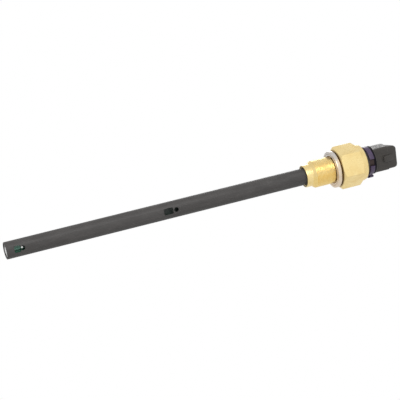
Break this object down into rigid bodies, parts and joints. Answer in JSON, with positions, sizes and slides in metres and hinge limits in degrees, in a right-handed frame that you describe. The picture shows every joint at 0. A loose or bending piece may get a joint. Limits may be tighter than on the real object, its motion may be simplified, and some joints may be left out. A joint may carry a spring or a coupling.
{
  "type": "oil level sensor",
  "caption": "Long dark probe tube with oil windows, brass hexagon screw-in body with sealing ring, and a black plug socket with a purple coding ring.",
  "frame": {"origin": "centre of the hexagon's sealing face, where the part seats on its port", "axes": "+Z along the probe towards the plug socket, the probe hangs down -Z; -Y towards the oil windows; the plug's latch wedge is turned 10.5 degrees from them"},
  "size_m": [0.032, 0.03, 0.2993],
  "materials": {
    "brass": "machined",
    "plated_steel": "satin",
    "tube_plastic": "matt",
    "seal_rubber": "matt",
    "spring_steel": "satin",
    "natural_plastic": "matt",
    "laminate": "satin",
    "resistance_wire": "drawn",
    "solder": "bright",
    "lead_insulation": "satin",
    "black_plastic": "matt",
    "purple_plastic": "satin",
    "tinned_contact": "bright",
    "potting": "gloss"
  },
  "bodies": {
    "root": {"brass_body": "brass", "sealing_ring": "plated_steel", "probe_tube": "tube_plastic", "tube_seal": "seal_rubber", "clamp_ring": "spring_steel", "board_holder": "natural_plastic", "carrier_board": "laminate", "tip_guide": "natural_plastic", "hot_wire": "resistance_wire", "wire_spring": "spring_steel", "wire_joint_lower": "solder", "wire_joint_upper": "solder", "lead_1": "lead_insulation", "lead_2": "lead_insulation", "tail_joint_1": "solder", "tail_joint_2": "solder", "board_joint_1": "solder", "board_joint_2": "solder", "connector_housing": "black_plastic", "coding_ring": "purple_plastic", "housing_seal": "seal_rubber", "terminal_blade_1": "tinned_contact", "terminal_blade_2": "tinned_contact", "terminal_potting": "potting"}
  },
  "joints": []
}
